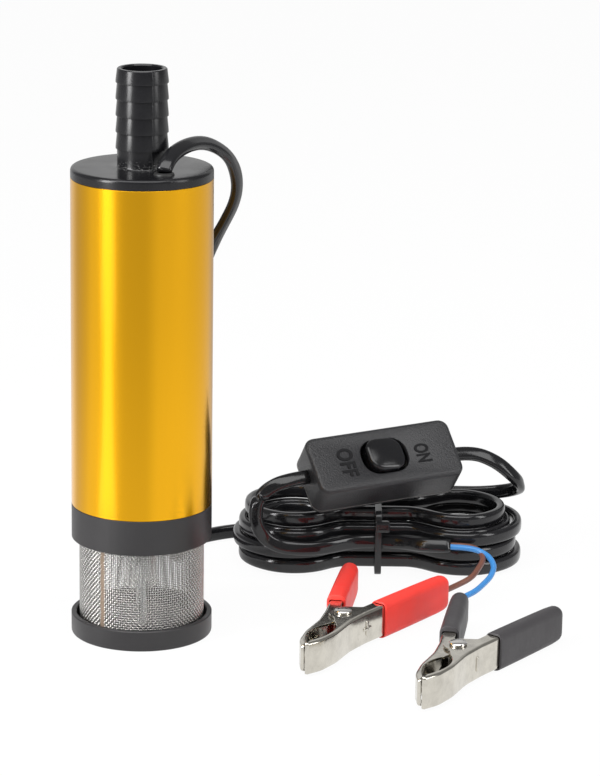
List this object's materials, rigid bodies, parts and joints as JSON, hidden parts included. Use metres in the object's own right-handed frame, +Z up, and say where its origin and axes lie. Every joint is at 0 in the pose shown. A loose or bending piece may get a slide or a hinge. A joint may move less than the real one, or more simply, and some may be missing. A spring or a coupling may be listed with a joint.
{
  "type": "submersible pump",
  "caption": "Slim round submersible pump with barbed hose tail and mesh strainer, on a hank of flat cable with an inline rocker switch and two battery clips.",
  "frame": {"origin": "on the pump's axis, at the underside of the strainer dish", "axes": "+Z up the pump towards the hose tail, +X towards the hank of cable, -Y towards the viewer"},
  "size_m": [0.1803, 0.196, 0.2084],
  "materials": {
    "gold_tube": "satin gold anodised",
    "cap_plastic": "gloss black moulding",
    "collar_plastic": "matt black moulding",
    "steel_mesh": "plain woven stainless mesh",
    "bright_steel": "bright",
    "seal_rubber": "soft black",
    "gland_rubber": "soft black",
    "inner_plastic": "moulded",
    "magnet": "sintered",
    "bush_brass": "turned",
    "winding_copper": "enamelled copper",
    "cable_pvc": "glossy black sheath",
    "tie_plastic": "black nylon",
    "brown_core": "brown insulation",
    "blue_core": "blue insulation",
    "switch_plastic": "fine-grained black moulding",
    "rocker_plastic": "gloss black moulding",
    "clip_nickel": "nickel-plated pressed steel",
    "red_sleeve": "soft red vinyl",
    "black_sleeve": "soft black vinyl"
  },
  "bodies": {
    "pump": {"top_cap": "cap_plastic", "cap_o_ring": "seal_rubber", "cable_gland": "gland_rubber", "body_tube": "gold_tube", "base_collar": "collar_plastic", "collar_o_ring": "seal_rubber", "strainer_mesh": "steel_mesh", "strainer_dish": "collar_plastic", "pump_plate": "inner_plastic", "strainer_post": "bright_steel", "dish_screw": "bright_steel", "motor_housing": "inner_plastic", "housing_lid": "inner_plastic", "motor_lead": "cable_pvc", "motor_can": "bright_steel", "magnets": "magnet", "lower_bush": "bush_brass", "upper_bush": "bush_brass", "shaft_seal": "seal_rubber", "motor_end_cap": "inner_plastic", "brushes": "magnet", "brush_springs": "bright_steel", "pump_cable": "cable_pvc", "cable_hank": "cable_pvc", "cable_tie": "tie_plastic", "switch_cable": "cable_pvc", "battery_cable": "cable_pvc", "brown_core": "brown_core", "blue_core": "blue_core", "switch_cover": "switch_plastic", "switch_base": "switch_plastic", "switch_terminals": "bush_brass", "terminal_screws": "bright_steel", "contact_bridge": "bush_brass", "switch_screws": "bright_steel", "red_fixed_arm": "clip_nickel", "red_fixed_sleeve": "red_sleeve", "red_rivet": "clip_nickel", "red_spring": "bright_steel", "black_fixed_arm": "clip_nickel", "black_fixed_sleeve": "black_sleeve", "black_rivet": "clip_nickel", "black_spring": "bright_steel"},
    "rotor": {"motor_shaft": "bright_steel", "armature": "bright_steel", "windings": "winding_copper", "commutator": "winding_copper", "impeller": "inner_plastic"},
    "rocker": {"switch_rocker": "rocker_plastic", "rocker_pin": "bright_steel"},
    "red_jaw": {"red_moving_arm": "clip_nickel", "red_moving_sleeve": "red_sleeve"},
    "black_jaw": {"black_moving_arm": "clip_nickel", "black_moving_sleeve": "black_sleeve"}
  },
  "joints": [
    {"name": "rotor_spin", "type": "hinge", "parent": "pump", "child": "rotor", "pos_m": [0, 0, 0.09], "axis": [0, 0, 1], "continuous": true},
    {"name": "rocker_tip", "type": "hinge", "parent": "pump", "child": "rocker", "pos_m": [0.08924, 0.07285, 0.0444], "axis": [0.3058, -0.6648, -0.6816], "range_deg": [0, 16]},
    {"name": "red_clip", "type": "hinge", "parent": "pump", "child": "red_jaw", "pos_m": [0.0738, -0.0158, 0.007], "axis": [0, 0, -1], "range_deg": [0, 22], "stiffness_Nm_per_rad": 0.3, "springref_deg": -28.65},
    {"name": "black_clip", "type": "hinge", "parent": "pump", "child": "black_jaw", "pos_m": [0.114, -0.049, 0.007], "axis": [0, 0, 1], "range_deg": [0, 22], "stiffness_Nm_per_rad": 0.3, "springref_deg": -28.65}
  ]
}
